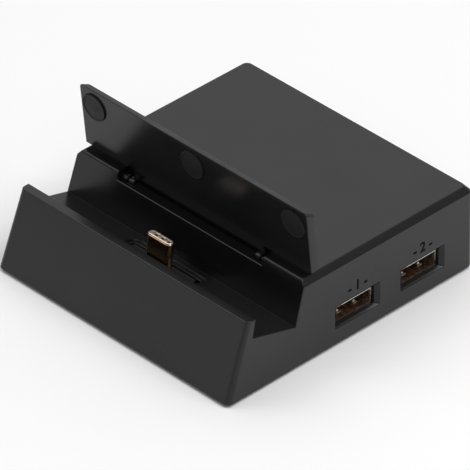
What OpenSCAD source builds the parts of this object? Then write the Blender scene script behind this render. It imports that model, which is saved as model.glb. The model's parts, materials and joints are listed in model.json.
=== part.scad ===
// Docking station for a hand-held games console.
// A moulded housing has a slanted front lip, a tilted groove with a sprung type C plug,
// and a box behind it with two type A sockets on the right and two sockets at the back.
// A hinged back-rest with three soft pads stands behind the groove and folds over it.
// Millimetres, +Z up, front towards -Y, origin on the floor under the middle of the body.

/* [Body] */
// Width of the body at its foot
body_w = 83; // [74:0.5:96]
// Depth of the body at its foot
body_d = 90; // [86:0.5:110]
// Height of the box top above the foot of the walls
body_h = 24.4; // [23.6:0.1:26]
// Thickness of the moulded walls
wall_t = 2; // [1.6:0.1:2.4]
// Inward slope of the side and rear walls, in degrees
draft_deg = 2.3; // [0.5:0.1:3]
// Radius of the two rear upright corners at the foot
rear_corner_r = 2.6; // [1.5:0.1:5]
// Radius of the two front upright corners at the foot
front_corner_r = 1.7; // [0.8:0.1:3]
// Width of the long chamfer round the box top
chamfer_w = 1.4; // [0.6:0.1:2]
// Height of the long chamfer round the box top
chamfer_h = 1.7; // [0.6:0.1:2.4]

/* [Groove] */
// Backward lean of the front face, in degrees
front_lean = 18.7; // [15:0.1:20]
// Height of the front lip
lip_h = 21.6; // [20.8:0.1:22.2]
// Thickness of the front lip at its top
lip_t = 2.8; // [2:0.1:4]
// Height of the groove floor where it meets the lip
floor_front_z = 16.4; // [16:0.1:17]
// Lean of the back of the lip, in degrees
lip_back_lean = 11.8; // [5:0.1:16]
// Length of the groove floor, front to back
groove_w = 15.7; // [15:0.1:17]
// Downward slope of the groove floor towards the back, in degrees
floor_slope = 15.1; // [13:0.1:17]
// Backward lean of the face behind the groove, in degrees
block_lean = 15.6; // [13:0.1:17]
// Length of the plug slot in the groove floor
slot_l = 23.6; // [22.8:0.1:25]
// Width of the plug slot in the groove floor
slot_w = 8; // [7.8:0.1:9]
// Width of the sunk border round the plug slot
slot_border = 1.4; // [0.5:0.1:2]
// Depth of the sunk border round the plug slot
slot_border_depth = 0.35; // [0.2:0.05:0.6]

/* [Back-rest] */
// Width of the back-rest panel
flap_w = 80.5; // [72:0.5:82]
// Height of the back-rest panel
flap_l = 19.6; // [18.5:0.1:19.8]
// Thickness of the back-rest panel
flap_t = 2.85; // [2.4:0.05:3.2]
// Drop of the bevelled top end from front to back
flap_bevel = 1.85; // [0.5:0.05:2.5]
// Forward lean of the back-rest as it stands, in degrees
flap_lean = 7.8; // [4:0.1:10]
// Radius of the back-rest's two top corners
flap_corner_r = 1; // [0.6:0.1:4]
// Radius of the three round pads
pad_r = 4; // [3:0.1:4.4]
// Thickness of the three round pads
pad_t = 0.5; // [0.3:0.05:0.6]
// Distance of the outer pads' centres from the ends of the panel
pad_inset = 4.95; // [4.75:0.05:12]
// Height of the pads' centres above the foot of the panel
pad_up = 14.1; // [11:0.1:14.4]

/* [Hinge] */
// Set-back of the hinge axis behind the groove's rear top edge
hinge_back = 2.32; // [2.1:0.02:2.5]
// Depth of the hinge axis under the box top
hinge_drop = 2.8; // [2.65:0.05:2.95]
// Set-back of the panel's front face behind the hinge axis
flap_face = 0.6; // [0.5:0.05:0.7]
// Set-back of the back-rest's tongue behind the panel's front face
tongue_back = 0.3; // [0.2:0.05:0.5]
// Width of the hinge recess in the box top
recess_w = 51.7; // [40:0.1:56]
// Depth of the recess's ledge under the box top
ledge_drop = 2.3; // [2.1:0.05:2.45]
// Radius of the hinge knuckles
knuckle_r = 1.25; // [1.1:0.05:1.35]
// Length of the housing's knuckle at each end of the recess
knuckle_l = 1.75; // [1.2:0.05:2.4]
// Gap between a knuckle and the end of the back-rest's tongue
knuckle_gap = 0.6; // [0.3:0.1:0.8]
// Length of the eye at each end of the tongue
eye_l = 1.9; // [1.4:0.1:3]
// Radius of the two hinge pins
pin_r = 0.6; // [0.45:0.05:0.7]

/* [Type C plug] */
// Width of the plug's metal shell
plug_w = 8.34; // [8:0.02:8.6]
// Thickness of the plug's metal shell
plug_t = 2.56; // [2.4:0.02:2.7]
// Distance from the plug's pivot to its mouth
plug_reach = 13; // [12.4:0.1:13.4]
// Backward lean of the plug as it stands, in degrees
plug_lean = 5; // [3:0.1:7]
// Width of the plug carrier
carrier_w = 22; // [20:0.1:22.4]
// Thickness of the plug carrier
carrier_t = 5.2; // [4.6:0.1:5.4]
// Radius of the carrier's two pivot studs
stud_r = 1.5; // [1.2:0.05:1.7]

/* [Side ports] */
// Width of each opening in the side wall
port_cut_w = 16; // [14.4:0.1:17]
// Height of each opening in the side wall
port_cut_h = 6.7; // [6.3:0.1:7.2]
// Distance from the rear of the foot to the middle of the rear port
port_inset = 19.7; // [17:0.1:22]
// Distance between the middles of the two ports
port_pitch = 23.8; // [20:0.1:25]
// Outer width of a type A socket shell
type_a_w = 13.1; // [12.5:0.1:13.5]
// Outer height of a type A socket shell
type_a_h = 5.7; // [5.4:0.05:6]
// Set-back of the shell mouths inside the side wall
port_setback = 1.6; // [1:0.1:1.8]
// Length of a type A socket shell
type_a_l = 14; // [12:0.1:16]

/* [Rear ports] */
// Sideways place of the video socket
video_x = -15; // [-20:0.5:-12]
// Sideways place of the power socket
power_x = 11; // [6:0.5:18]
// Outer width of the video socket shell
video_w = 15; // [14.5:0.1:15.5]
// Outer height of the video socket shell
video_h = 5.6; // [5.2:0.05:5.8]
// Outer width of the power socket shell
power_w = 8.94; // [8.8:0.02:9.2]
// Outer height of the power socket shell
power_h = 3.2; // [3:0.02:3.4]

/* [Base and board] */
// Thickness of the base plate
base_t = 1.8; // [1.5:0.1:2.2]
// Thickness of the circuit board
board_t = 1.6; // [1:0.1:1.8]
// Height of the board's top above the foot of the walls
board_top = 5.1; // [4.9:0.05:5.4]
// Distance of the board's left edge from the side of the body
board_gap_left = 7.5; // [6.5:0.1:9]
// Distance of the board's right edge from the side of the body
board_gap_right = 5.5; // [5:0.1:7]
// Distance of the board's front edge from the front of the foot
board_front = 30.5; // [29.5:0.1:32]
// Radius of the rubber feet
foot_r = 4.5; // [3:0.1:5.5]
// Height that the rubber feet stand proud
foot_proud = 0.8; // [0.5:0.1:1.5]
// Distance of the screws and feet from the side walls
corner_inset = 8; // [7.6:0.1:10]

/* [Clearances] */
// Gap between the base plate and the walls
base_gap = 0.2; // [0.1:0.05:0.3]
// Running gap of a pin or stud in its bore
bore_gap = 0.06; // [0.03:0.01:0.1]
// Gap that the back-rest keeps from the housing as it swings
swing_gap = 0.1; // [0.08:0.01:0.15]
// Gap between small fitted pieces
fit_gap = 0.1; // [0.05:0.01:0.15]

/* [Hidden] */

// Fine circles for bores, coarse ones for the corners of a hull
$fn = 48;
corner_fn = 32;
eps = 0.01;
over = 1;

half_w = body_w / 2;
draft = tan(draft_deg);

// Groove outline, as points (y, z) measured from the front of the foot
lip_front = [lip_h * tan(front_lean), lip_h];
lip_back = [lip_front[0] + lip_t, lip_h];
floor_front = [lip_back[0] - (lip_h - floor_front_z) * tan(lip_back_lean), floor_front_z];
floor_back = floor_front + groove_w * [cos(floor_slope), -sin(floor_slope)];
block_top = [floor_back[0] + (body_h - floor_back[1]) * tan(block_lean), body_h];
// Small flat on the front top edge of the box
block_edge = 0.35;
floor_mid = (floor_front + floor_back) / 2;

// Point where two lines meet: each is a point and a direction
function cross2(a, b) = a[0] * b[1] - a[1] * b[0];
function meet(p, d, q, e) = p + d * cross2(q - p, e) / cross2(d, e);

front_dir = [sin(front_lean), cos(front_lean)];
floor_dir = [cos(floor_slope), -sin(floor_slope)];
floor_up = [sin(floor_slope), cos(floor_slope)];
block_dir = [sin(block_lean), cos(block_lean)];
block_back = [cos(block_lean), -sin(block_lean)];

// Inner faces of the walls round the groove
front_in = [wall_t / cos(front_lean), 0];
floor_in = floor_front - wall_t * floor_up;
block_in = floor_back + wall_t * block_back;
roof_z = body_h - wall_t;

// Hinge: the panel's foot just clears the box's front top edge as it swings past
hinge = [block_top[0] + hinge_back, body_h - hinge_drop];
edge_low = block_top - block_edge * block_dir;
flap_foot = norm(hinge - edge_low) + swing_gap;
flap_rear = flap_face + flap_t;
tongue_w = recess_w - 2 * (knuckle_l + knuckle_gap);
tongue_face = flap_face + tongue_back;
tongue_low = 1.2;
pin_seat = 2;
saddle_wall = 1.8;
saddle_skin = 1;
// Ledge in front of the tongue, and the well behind it in which the tongue turns
tongue_gap = 0.53;
well_room = 0.75;
well_corner = 0.8;
eye_gap = 0.25;
ledge_z = body_h - ledge_drop;
well_front = hinge[0] + tongue_face - tongue_gap;
well_rear = hinge[0] + flap_rear + well_room;
well_z = hinge[1] - tongue_low - well_room;
notch_r = knuckle_r + eye_gap;
notch_l = knuckle_l + knuckle_gap + eye_l + eye_gap;

// Plug: the pivot lies under the groove floor, in the middle of the slot
plug_dir = [sin(plug_lean), cos(plug_lean)];
pivot_drop = 5.2;
pivot = floor_mid - pivot_drop * plug_dir;
carrier_top = 4.6;
carrier_foot = 2.5;
plug_seat = 2.4;
shell_wall = 0.3;
ear_t = 2;
spring_space = 1.6;
ear_x = carrier_w / 2 + spring_space;
ear_h = 3.2;
plug_board_t = 1;

// Sockets stand on the board
port_z = board_top + type_a_h / 2 + fit_gap;
port_wall_x = half_w - port_z * draft;
video_z = board_top + video_h / 2 + fit_gap;
power_z = board_top + power_h / 2 + fit_gap;
socket_wall = 0.35;
rear_setback = 0.8;
video_l = 11;
power_l = 7.5;
rear_cut_gap = 0.8;

// Base, screws and feet
boss_r = 3.1;
screw_r = 1.25;
screw_head_r = 2.3;
screw_head_h = 1.1;
screw_l = 9;
screw_y = [corner_inset + 1.5, body_d - corner_inset];
screw_x = half_w - corner_inset;
foot_inset = corner_inset + 11;
foot_y = [foot_inset, body_d - foot_inset];
foot_x = screw_x;
foot_seat = 0.6;

// Board
board_x = [board_gap_left - half_w, half_w - board_gap_right];
board_y = [board_front, body_d - wall_t - 1.5];
board_w = board_x[1] - board_x[0];
board_d = board_y[1] - board_y[0];
board_post_r = 2.4;
port_back_x = port_wall_x - port_setback - type_a_l;
board_screw_inset = [4, 5.5, 3.6, 9.5];
board_screw_x = [board_x[0] + board_screw_inset[0], port_back_x - board_screw_inset[2]];
board_screw_y = [board_y[0] + board_screw_inset[1], board_y[1] - board_screw_inset[3]];
board_screw_r = 1;
board_screw_head_r = 1.9;
board_screw_head_h = 0.9;
board_notch = boss_r + 0.5;

// Row of cooling slots in the base, under the middle of the board
vent_w = 1.6;
vent_l = 16;
vent_pitch = 5;
vent_y = board_y[0] + 0.45 * board_d;

// Parts on the board: size, then place as shares of the board's width and depth
video_chip_w = 10;
video_chip_h = 1.1;
video_chip_at = [0.314, 0.53];
hub_chip_w = 7;
hub_chip_h = 1;
hub_chip_at = [0.6, 0.386];
chip_pitch = 0.77;
chip_leg_w = 0.3;
chip_leg_l = 0.7;
chip_leg_h = 0.4;
crystal_w = 7;
crystal_d = 3;
crystal_h = 1.3;
crystal_at = [0.314, 0.332];
inductor_w = 6;
inductor_h = 2.6;
inductor_core_r = 1.3;
inductor_pitch = 11;
inductor_at = [0.543, 0.673];
capacitor_w = 1.2;
capacitor_d = 2;
capacitor_h = 0.9;
capacitor_pitch = 2.6;
capacitor_rows = [[0.114, 0.206, 6], [0.486, 0.53, 5]];

// Flat cable and its connector
ribbon_w = 12;
ribbon_t = 0.3;
connector_d = 4;
connector_h = 1.8;
connector_y = board_y[0] + 1;

// Places everything so that the origin is on the floor, under the middle of the foot
module placed() {
    translate([0, -body_d / 2, foot_proud]) children();
}

// Extrudes a (y, z) outline along X, centred
module along_x(length) {
    rotate([90, 0, 90]) translate([0, 0, -length / 2]) linear_extrude(height = length) children();
}

// Extrudes an (x, z) outline along Y, from y to y + length
module along_y(y, length) {
    translate([0, y + length, 0]) rotate([90, 0, 0]) linear_extrude(height = length) children();
}

// A rectangle with round corners, centred
module round_rect(w, h, r) {
    square([w - 2 * r, h], center = true);
    square([w, h - 2 * r], center = true);
    for (sx = [-1, 1], sy = [-1, 1])
        translate([sx * (w / 2 - r), sy * (h / 2 - r)]) circle(r = r, $fn = 32);
}

// One level of the outer form: four discs in the corners of the walls at that height
module outer_level(z, inset_w, inset_rear, top_y) {
    rear_r = rear_corner_r - z * draft;
    front_r = front_corner_r - z * draft / 2;
    x = half_w - z * draft - inset_w;
    y_rear = body_d - z * draft - inset_rear;
    for (sx = [-1, 1]) {
        translate([sx * (x - rear_r), y_rear - rear_r, z - eps])
            cylinder(r = rear_r, h = eps, $fn = corner_fn);
        translate([sx * (x - front_r), top_y + front_r, z - eps])
            cylinder(r = front_r, h = eps, $fn = corner_fn);
    }
}

// Closed outer form of the housing, before the groove is cut
module outer_form() {
    chamfer_z = body_h - chamfer_h;
    hull() {
        outer_level(eps, 0, 0, 0);
        outer_level(chamfer_z, 0, 0, chamfer_z * tan(front_lean));
        outer_level(body_h, chamfer_w, chamfer_w, body_h * tan(front_lean));
    }
}

// Groove, with all that is above the lip
module groove_space() {
    above = 5;
    along_x(body_w + 2 * over) polygon([
        [-over, lip_h], lip_back, floor_front, floor_back,
        edge_low, [block_top[0] + block_edge, body_h], [block_top[0] + block_edge, body_h + above],
        [-over, body_h + above]
    ]);
}

// Hollow inside the housing
module inner_space() {
    below = front_in - over * front_dir / cos(front_lean);
    foot_half = half_w - wall_t + over * draft;
    roof_half = half_w - wall_t - roof_z * draft;
    rear_foot = body_d - wall_t + over * draft;
    rear_roof = body_d - wall_t - roof_z * draft;
    intersection() {
        along_x(body_w) polygon([
            below, meet(front_in, front_dir, floor_in, floor_dir),
            meet(floor_in, floor_dir, block_in, block_dir),
            meet(block_in, block_dir, [0, roof_z], [1, 0]),
            [rear_roof, roof_z], [rear_foot, -over]
        ]);
        along_y(-over, body_d + 2 * over) polygon([
            [-foot_half, -over], [foot_half, -over],
            [roof_half, roof_z + over], [-roof_half, roof_z + over]
        ]);
    }
}

// Thick seat inside the box for the hinge recess and its well
module hinge_saddle() {
    front = block_top + saddle_skin * block_back;
    low_z = well_z - saddle_wall;
    rear = well_rear + saddle_wall;
    along_x(recess_w + 2 * (pin_seat + saddle_wall)) polygon([
        meet(front, block_dir, [0, low_z], [1, 0]),
        meet(front, block_dir, [0, body_h - saddle_skin], [1, 0]),
        [rear, body_h - saddle_skin], [rear, low_z + well_corner], [rear - well_corner, low_z]
    ]);
}

// Recess in the box top: a ledge at the front and a deeper well in which the tongue turns
module hinge_recess() {
    front = block_top[0] - ledge_drop - over;
    along_x(recess_w) polygon([
        [front, ledge_z], [well_front, ledge_z], [well_front, well_z],
        [well_rear - well_corner, well_z], [well_rear, well_z + well_corner],
        [well_rear, body_h + over], [front, body_h + over]
    ]);
    // A notch in each end of the ledge clears the tongue's eye and holds the knuckle
    for (side = [-1, 1])
        translate([side * (recess_w - notch_l) / 2, hinge[0], hinge[1]]) along_x(notch_l) {
            circle(r = notch_r);
            translate([-notch_r, 0]) square([notch_r + well_front - hinge[0] + eps, hinge_drop]);
        }
}

// Cylinder about the hinge axis at both ends of the recess, between two distances from the middle
module hinge_ends(r, from, to) {
    for (side = [-1, 1])
        translate([side * (from + to) / 2, 0, 0]) rotate([0, 90, 0])
            cylinder(r = r, h = to - from, center = true);
}

// Two ears under the groove floor, which carry the plug's pivot studs
module plug_ears() {
    for (side = [-1, 1])
        translate([side * (ear_x + ear_t / 2), 0, 0]) along_x(ear_t) {
            translate(pivot) circle(r = ear_h);
            polygon([
                pivot - [ear_h, 0], pivot + [ear_h, 0],
                meet(floor_in, floor_dir, pivot + [ear_h, 0], [0, 1]) + 0.5 * floor_up,
                meet(floor_in, floor_dir, pivot - [ear_h, 0], [0, 1]) + 0.5 * floor_up
            ]);
        }
}

// Slot in the groove floor, square to it, with a sunk border
module plug_slot() {
    translate([0, floor_mid[0], floor_mid[1]]) rotate([-floor_slope, 0, 0]) {
        translate([0, 0, -wall_t - over])
            linear_extrude(height = wall_t + 2 * over) round_rect(slot_l, slot_w, 1);
        translate([0, 0, -slot_border_depth]) linear_extrude(height = over)
            round_rect(slot_l + 2 * slot_border, slot_w + 2 * slot_border, 1 + slot_border);
    }
}

// Middle of side port number i, on the outside of the wall
function port_y(i) = body_d - port_inset - (1 - i) * port_pitch;

// Openings in the right wall for the two type A sockets
module side_openings() {
    for (i = [0, 1])
        translate([half_w, port_y(i), port_z]) rotate([90, 0, 90])
            translate([0, 0, -wall_t - 3]) linear_extrude(height = wall_t + 3 + over)
                round_rect(port_cut_w, port_cut_h, 0.4);
}

// Outline of the video socket: a wide shell with its lower corners cut off
module video_outline(grow = 0) {
    w = video_w / 2 + grow;
    h = video_h / 2 + grow;
    cut = 1.5;
    polygon([[-w, h], [-w, -h + cut + 1], [-w + cut, -h], [w - cut, -h], [w, -h + cut + 1], [w, h]]);
}

// Openings in the rear wall for the video and the power socket
module rear_openings() {
    along_y(body_d - wall_t - 2, wall_t + 2 + over) {
        translate([video_x, video_z]) video_outline(rear_cut_gap);
        translate([power_x, power_z])
            round_rect(power_w + 2 * rear_cut_gap, power_h + 2 * rear_cut_gap, 1.6);
    }
}

// Screw bosses that hang from the roof and from the groove floor
module screw_bosses() {
    intersection() {
        union() {
            for (sx = [-1, 1], y = screw_y)
                translate([sx * screw_x, y, base_t]) cylinder(r = boss_r, h = body_h - base_t - 1);
        }
        along_x(body_w) polygon([
            [0.5 / cos(front_lean), 0], meet([1 / cos(front_lean), 0], front_dir, floor_in, floor_dir),
            meet(floor_in, floor_dir, block_in, block_dir) + 0.5 * floor_up,
            meet(block_in, block_dir, [0, roof_z + 1], [1, 0]),
            [body_d, roof_z + 1], [body_d, 0]
        ]);
    }
}

// Pilot holes for the base screws
module screw_pilots() {
    for (sx = [-1, 1], y = screw_y)
        translate([sx * screw_x, y, base_t - over])
            cylinder(r = screw_r + fit_gap, h = screw_l + over);
}

module upper_housing() {
    color("#2b2b2d") placed() difference() {
        union() {
            difference() {
                union() {
                    difference() {
                        outer_form();
                        inner_space();
                    }
                    hinge_saddle();
                    screw_bosses();
                    plug_ears();
                }
                groove_space();
                hinge_recess();
                plug_slot();
                side_openings();
                rear_openings();
                screw_pilots();
                translate([0, pivot[0], pivot[1]]) rotate([0, 90, 0])
                    cylinder(r = stud_r + bore_gap, h = 2 * (ear_x + ear_t) + over, center = true);
            }
            translate([0, hinge[0], hinge[1]])
                hinge_ends(knuckle_r, recess_w / 2 - knuckle_l, recess_w / 2 + eps);
        }
        translate([0, hinge[0], hinge[1]])
            hinge_ends(pin_r + bore_gap / 2, recess_w / 2 - knuckle_l - over, recess_w / 2 + pin_seat);
    }
}

// Base plate inside the foot of the walls, with posts for the board and seats for the feet
module base_plate() {
    x = half_w - wall_t - base_gap - base_t * draft;
    y_front = front_in[0] + base_t * tan(front_lean) + base_gap;
    y_rear = body_d - wall_t - base_gap - base_t * draft;
    color("#262627") placed() difference() {
        union() {
            translate([-x, y_front, 0]) cube([2 * x, y_rear - y_front, base_t]);
            for (x = board_screw_x, y = board_screw_y)
                translate([x, y, 0]) cylinder(r = board_post_r, h = board_top - board_t);
        }
        for (sx = [-1, 1], y = screw_y) translate([sx * screw_x, y, -over]) {
            cylinder(r = screw_r + fit_gap, h = base_t + 2 * over);
            cylinder(r = screw_head_r + fit_gap, h = screw_head_h + over);
        }
        for (sx = [-1, 1], y = foot_y)
            translate([sx * foot_x, y, -over]) cylinder(r = foot_r + fit_gap, h = foot_seat + over);
        for (x = board_screw_x, y = board_screw_y)
            translate([x, y, base_t / 2]) cylinder(r = board_screw_r, h = board_top);
        for (i = [-3 : 3])
            translate([i * vent_pitch, vent_y, -over]) linear_extrude(height = base_t + 2 * over)
                round_rect(vent_w, vent_l, vent_w / 2 - eps);
    }
}

// Pan-head screw with a cross recess, head down, its head's underside at z = 0
module pan_screw(r, l, head_r, head_h) {
    difference() {
        union() {
            cylinder(r = r, h = l);
            translate([0, 0, -head_h]) cylinder(r = head_r, h = head_h);
        }
        for (turn = [0, 90])
            rotate(turn) translate([0, 0, -head_h]) cube([head_r * 1.1, head_r * 0.28, head_h], center = true);
    }
}

module base_screws() {
    color("#8a8a8c") placed()
        for (sx = [-1, 1], y = screw_y) translate([sx * screw_x, y, screw_head_h])
            pan_screw(screw_r, screw_l - screw_head_h, screw_head_r, screw_head_h - 0.2);
}

module rubber_feet() {
    color("#1c1c1c") placed()
        for (sx = [-1, 1], y = foot_y) translate([sx * foot_x, y, -foot_proud])
            rotate_extrude() polygon([
                [0, 0], [foot_r - 0.4, 0], [foot_r, 0.4], [foot_r, foot_proud + foot_seat],
                [0, foot_proud + foot_seat]
            ]);
}

// Puts the back-rest's own frame (width, up, back) on the hinge axis at its standing lean
module flap_placed() {
    placed() translate([0, hinge[0], hinge[1]]) rotate([flap_lean, 0, 0]) children();
}

module support_flap() {
    top = flap_foot + flap_l;
    overlap = 1;
    heel = 0.9;
    eye_in = tongue_w / 2 - eye_l;
    color("#2b2b2d") flap_placed() difference() {
        union() {
            intersection() {
                // Side outline with its bevelled top end
                along_x(flap_w) polygon([
                    [flap_face, flap_foot], [flap_face, top],
                    [flap_rear, top - flap_bevel], [flap_rear, flap_foot]
                ]);
                // Front outline with round top corners
                along_y(0, flap_rear + over) {
                    translate([0, (flap_foot + top) / 2]) round_rect(flap_w, flap_l, flap_corner_r);
                    translate([-flap_w / 2, flap_foot]) square([flap_w, flap_l / 2]);
                }
            }
            // Tongue that goes down into the well, with an eye at each end for the pins
            along_x(tongue_w) polygon([
                [tongue_face, flap_foot + overlap], [tongue_face, -tongue_low],
                [flap_rear - heel, -tongue_low], [flap_rear, heel - tongue_low],
                [flap_rear, flap_foot + overlap]
            ]);
            hinge_ends(knuckle_r, eye_in, tongue_w / 2);
            for (side = [-1, 1])
                translate([side * (tongue_w - eye_l) / 2, 0, 0]) along_x(eye_l) polygon([
                    [0, knuckle_r], [tongue_face + eps, knuckle_r - 0.15],
                    [tongue_face + eps, 0.15 - knuckle_r], [0, -knuckle_r]
                ]);
        }
        hinge_ends(pin_r + bore_gap, eye_in - over, tongue_w / 2 + over);
    }
}

// Round pad number i on the panel's front face, counted from the left
module flap_pad(i) {
    edge = 0.2;
    color("#1d1d1e") flap_placed()
        translate([(i - 1) * (flap_w / 2 - pad_inset), flap_face, flap_foot + pad_up]) rotate([90, 0, 0])
            rotate_extrude() polygon([
                [0, 0], [pad_r, 0], [pad_r, pad_t - edge], [pad_r - edge, pad_t], [0, pad_t]
            ]);
}

module flap_pad_left() { flap_pad(0); }
module flap_pad_middle() { flap_pad(1); }
module flap_pad_right() { flap_pad(2); }

// One short pin at each end of the tongue
module hinge_pin() {
    color("#b9b9bb") placed() translate([0, hinge[0], hinge[1]])
        hinge_ends(pin_r, tongue_w / 2 - eye_l, recess_w / 2 + pin_seat - fit_gap);
}

// Puts the plug's own frame on its pivot, leaning as it stands
module plug_placed() {
    placed() translate([0, pivot[0], pivot[1]]) rotate([-plug_lean, 0, 0]) children();
}

// Outline of a flat tube with round ends
module oblong(w, t) {
    square([w - t, t], center = true);
    for (side = [-1, 1]) translate([side * (w - t) / 2, 0]) circle(r = t / 2);
}

module plug_carrier() {
    color("#232324") plug_placed() difference() {
        union() {
            translate([0, 0, -carrier_foot]) linear_extrude(height = carrier_foot + carrier_top)
                round_rect(carrier_w, carrier_t, 0.8);
            rotate([0, 90, 0])
                cylinder(r = stud_r, h = 2 * (ear_x + ear_t) - 2 * fit_gap, center = true);
        }
        translate([0, 0, plug_seat]) linear_extrude(height = carrier_top) oblong(plug_w, plug_t);
        // Relief that lets the carrier's lower edge pass the board below
        translate([0, 0, -carrier_foot]) cube([carrier_w * 0.6, carrier_t * 0.3, 2], center = true);
    }
}

module plug_shell() {
    inner_w = plug_w - 2 * shell_wall;
    inner_t = plug_t - 2 * shell_wall;
    color("#c9a676") plug_placed() translate([0, 0, plug_seat]) difference() {
        union() {
            linear_extrude(height = plug_reach - plug_seat - 0.3) oblong(plug_w, plug_t);
            translate([0, 0, plug_reach - plug_seat - 0.3 - eps])
                linear_extrude(height = 0.3 + eps) oblong(plug_w - 0.3, plug_t - 0.3);
        }
        translate([0, 0, -over]) linear_extrude(height = plug_reach + over) oblong(inner_w, inner_t);
    }
}

module plug_core() {
    w = plug_w - 2 * shell_wall;
    t = plug_t - 2 * shell_wall;
    mouth_w = 6.7;
    mouth_t = 0.86;
    mouth_depth = 5.4;
    top = plug_reach - 0.4;
    color("#1b1b1c") plug_placed() difference() {
        translate([0, 0, plug_seat]) linear_extrude(height = top - plug_seat) oblong(w, t);
        translate([0, 0, top - mouth_depth]) linear_extrude(height = mouth_depth + over)
            square([mouth_w, mouth_t], center = true);
        contact_slots(top, mouth_t, fit_gap / 10);
    }
}

// Twelve contact strips on each long side of the plug's mouth
module contact_slots(top, mouth_t, grow) {
    strip_w = 0.26;
    strip_t = 0.18;
    strip_l = 3.6;
    for (side = [-1, 1], i = [0 : 11])
        translate([(i - 5.5) * 0.5, side * (mouth_t / 2 + strip_t / 2), top - 0.9 - strip_l / 2])
            cube([strip_w + 2 * grow, strip_t + 2 * grow, strip_l + 2 * grow], center = true);
}

module plug_contacts() {
    color("#d8b46a") plug_placed() contact_slots(plug_reach - 0.4, 0.86, 0);
}

module plug_board() {
    w = carrier_w - 3;
    color("#1f4d37") plug_placed() translate([0, 0, -carrier_foot - plug_board_t])
        linear_extrude(height = plug_board_t) round_rect(w, carrier_t + 0.6, 0.5);
}

// Points of a helix about X, then a tube of flat rings swept along it
function coil_point(r, pitch, a) = [pitch * a / 360, r * cos(a), r * sin(a)];
function coil_ring(r, pitch, a, wire, sides) = [
    for (k = [0 : sides - 1])
        coil_point(r, pitch, a)
        + wire * cos(360 * k / sides) * [0, cos(a), sin(a)] + wire * sin(360 * k / sides) * [1, 0, 0]
];
module coil(r, pitch, turns, wire) {
    sides = 6;
    steps = round(turns * 18);
    points = [for (s = [0 : steps]) each coil_ring(r, pitch, 360 * turns * s / steps, wire, sides)];
    walls = [
        for (s = [0 : steps - 1], k = [0 : sides - 1])
            let (a = s * sides + k, b = s * sides + (k + 1) % sides) [a, b, b + sides, a + sides]
    ];
    ends = [[for (k = [sides - 1 : -1 : 0]) k], [for (k = [0 : sides - 1]) steps * sides + k]];
    polyhedron(points = points, faces = concat(walls, ends), convexity = 6);
}

// Springs round the two studs, which turn the plug back to the middle
module return_springs() {
    wire = 0.16;
    turns = 2.5;
    pitch = 0.45;
    start = carrier_w / 2 + (spring_space - turns * pitch) / 2;
    color("#a9a9ab") plug_placed() for (side = [0, 1]) mirror([side, 0, 0])
        translate([start, 0, 0]) coil(stud_r + 0.4, pitch, turns, wire);
}

// Places something made along +Z (mouth up) in side port i, mouth towards +X
module in_side_port(i) {
    placed() translate([port_wall_x - port_setback, port_y(i), port_z]) rotate([90, 0, 90]) children();
}

module port_shell(i) {
    color("#b8b8bb") in_side_port(i) difference() {
        translate([0, 0, -type_a_l]) linear_extrude(height = type_a_l)
            round_rect(type_a_w, type_a_h, 0.5);
        translate([0, 0, -type_a_l + socket_wall]) linear_extrude(height = type_a_l)
            round_rect(type_a_w - 2 * socket_wall, type_a_h - 2 * socket_wall, 0.3);
        // Windows for the spring tongues above and below
        for (side = [-1, 1])
            translate([side * 3, 0, -4]) cube([1.8, type_a_h + over, 3.4], center = true);
    }
}

// Spring tongues are bent from the shell, so the insulator and its contacts are the other pieces
module port_tongue(i) {
    plate_t = 1.84;
    plate_w = 11.1;
    plate_l = 8.8;
    block_l = 3.4;
    inner_w = type_a_w - 2 * socket_wall - 2 * fit_gap;
    inner_h = type_a_h - 2 * socket_wall - 2 * fit_gap;
    color("#4a2f1c") in_side_port(i) difference() {
        union() {
            translate([0, 0, -type_a_l + socket_wall + fit_gap]) linear_extrude(height = block_l)
                square([inner_w, inner_h], center = true);
            translate([-plate_w / 2, inner_h / 2 - plate_t - 0.5, -type_a_l + socket_wall + fit_gap])
                cube([plate_w, plate_t, block_l + plate_l]);
        }
        port_strips(inner_h / 2 - plate_t - 0.5, fit_gap / 5);
    }
}

// Four contact strips let into the underside of the tongue
module port_strips(face, grow) {
    strip_w = 1;
    strip_t = 0.3;
    strip_l = 7;
    spread = [-3.5, -1, 1, 3.5];
    for (x = spread)
        translate([x - strip_w / 2 - grow, face - eps, -1.9 - strip_l - grow])
            cube([strip_w + 2 * grow, strip_t + grow + eps, strip_l + 2 * grow]);
}

module port_contacts(i) {
    plate_t = 1.84;
    inner_h = type_a_h - 2 * socket_wall - 2 * fit_gap;
    color("#d8b46a") in_side_port(i) port_strips(inner_h / 2 - plate_t - 0.5, 0);
}

module port_shell_front() { port_shell(0); }
module port_shell_rear() { port_shell(1); }
module port_tongue_front() { port_tongue(0); }
module port_tongue_rear() { port_tongue(1); }
module port_contacts_front() { port_contacts(0); }
module port_contacts_rear() { port_contacts(1); }

// Rear wall face at the height of a socket
function rear_y(z) = body_d - z * draft - rear_setback;

module video_shell() {
    color("#b8b8bb") placed() difference() {
        along_y(rear_y(video_z) - video_l, video_l) translate([video_x, video_z]) video_outline();
        along_y(rear_y(video_z) - video_l + socket_wall, video_l)
            translate([video_x, video_z]) video_outline(-socket_wall);
    }
}

module video_tongue() {
    plate_w = 11.8;
    plate_t = 1.5;
    plate_l = 8;
    root_l = 1.8;
    inner = -socket_wall - fit_gap;
    y = rear_y(video_z) - video_l + socket_wall + fit_gap;
    color("#161617") placed() {
        along_y(y, root_l) translate([video_x, video_z]) video_outline(inner);
        translate([video_x - plate_w / 2, y, video_z - plate_t / 2 + 0.4])
            cube([plate_w, plate_l, plate_t]);
    }
}

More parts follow.
